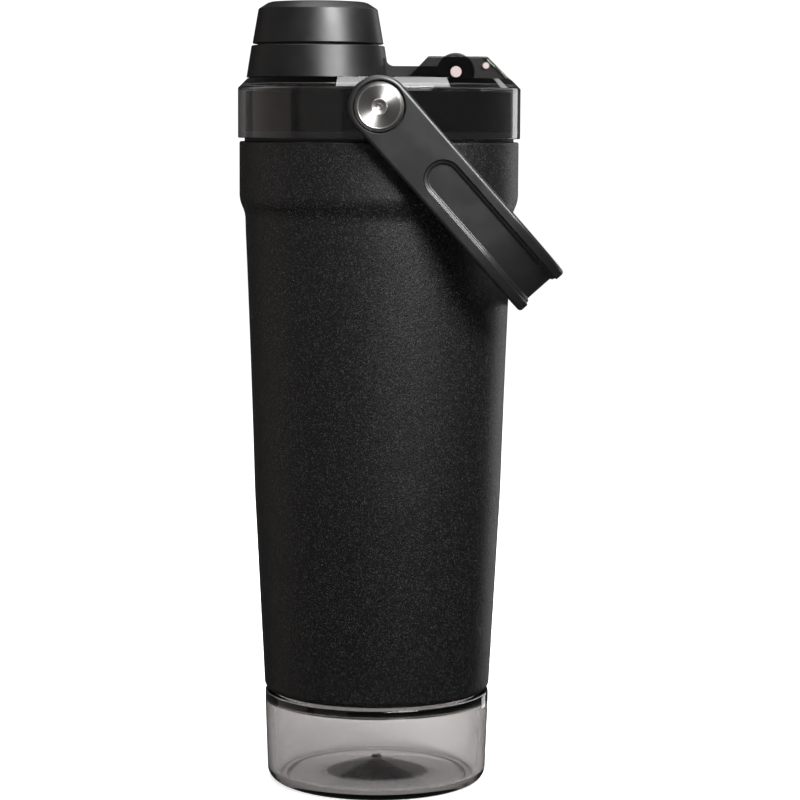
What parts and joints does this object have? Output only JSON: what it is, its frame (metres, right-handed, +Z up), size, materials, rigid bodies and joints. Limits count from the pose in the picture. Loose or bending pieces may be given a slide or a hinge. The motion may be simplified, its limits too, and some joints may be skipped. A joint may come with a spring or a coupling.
{
  "type": "protein shaker bottle",
  "caption": "Tall tapered double-wall shaker bottle with a screw lid, off-centre tethered twist cap, bail handle on turned rivets and a clear screw-on storage jar under its base.",
  "frame": {"origin": "on the bottle's axis, at the level of the surface the storage jar stands on", "axes": "+Z up along the bottle's axis; +X towards the cap's hinge and the folded handle; -Y is the front"},
  "size_m": [0.1019, 0.0984, 0.2476],
  "materials": {
    "powder_coat": "matte black powder coat, fine grit",
    "bare_steel": "bare stainless, fine polish",
    "turned_steel": "stainless, faced on a lathe",
    "pin_steel": "ground stainless pin",
    "brass_insert": "machined",
    "getter": "sintered",
    "satin_black": "satin moulded polypropylene",
    "black_moulding": "fine moulded polypropylene",
    "smoke_tint": "dark smoke copolyester, polished",
    "smoke_clear": "light smoke copolyester, polished",
    "silicone": "matte food-grade silicone",
    "nylon": "natural nylon washer"
  },
  "bodies": {
    "jar": {"storage_jar": "smoke_clear"},
    "jar_seal_carrier": {"jar_seal": "silicone"},
    "bottle": {"outer_shell": "powder_coat", "inner_liner": "bare_steel", "base_plate": "bare_steel", "getter_pill": "getter", "base_socket": "black_moulding"},
    "gasket_carrier": {"lid_gasket": "silicone"},
    "lid": {"lid_shell": "smoke_tint", "lid_plug": "black_moulding", "spout": "black_moulding", "spout_o_ring": "silicone", "hinge_pin": "pin_steel", "stop_pin": "pin_steel", "front_insert": "brass_insert", "rear_insert": "brass_insert", "front_washer": "nylon", "rear_washer": "nylon", "front_rivet": "turned_steel", "rear_rivet": "turned_steel"},
    "grid": {"mixing_grid": "black_moulding"},
    "cap_arm": {"cap_ring": "satin_black"},
    "cap": {"cap_knob": "satin_black", "cap_insert": "black_moulding", "cap_seal": "silicone"},
    "handle": {"handle": "satin_black"}
  },
  "joints": [
    {"name": "bottle_lift", "type": "slide", "parent": "jar", "child": "jar_seal_carrier", "axis": [0, 0, 1], "range_m": [0, 0.005]},
    {"name": "bottle_turn", "type": "hinge", "parent": "jar_seal_carrier", "child": "bottle", "pos_m": [0, 0, 0.03], "axis": [0, 0, 1], "range_deg": [0, 450]},
    {"name": "lid_lift", "type": "slide", "parent": "bottle", "child": "gasket_carrier", "axis": [0, 0, 1], "range_m": [0, 0.005]},
    {"name": "lid_turn", "type": "hinge", "parent": "gasket_carrier", "child": "lid", "pos_m": [0, 0, 0.2], "axis": [0, 0, 1], "range_deg": [0, 450]},
    {"name": "grid_pull", "type": "slide", "parent": "lid", "child": "grid", "axis": [0, 0, -1], "range_m": [0, 0.025]},
    {"name": "cap_flip", "type": "hinge", "parent": "lid", "child": "cap_arm", "pos_m": [0.0238, 0, 0.2259], "axis": [0, 1, 0], "range_deg": [0, 145]},
    {"name": "cap_lock", "type": "hinge", "parent": "cap_arm", "child": "cap", "pos_m": [-0.0193, 0, 0.23], "axis": [0, 0, -1], "range_deg": [0, 90]},
    {"name": "handle_swing", "type": "hinge", "parent": "lid", "child": "handle", "pos_m": [0, 0, 0.2147], "axis": [0, -1, 0], "range_deg": [0, 275]}
  ],
  "couplings": [
    {"joint": "bottle_lift", "follows": "bottle_turn", "m_per_rad": 0.000636},
    {"joint": "lid_lift", "follows": "lid_turn", "m_per_rad": 0.000636}
  ]
}
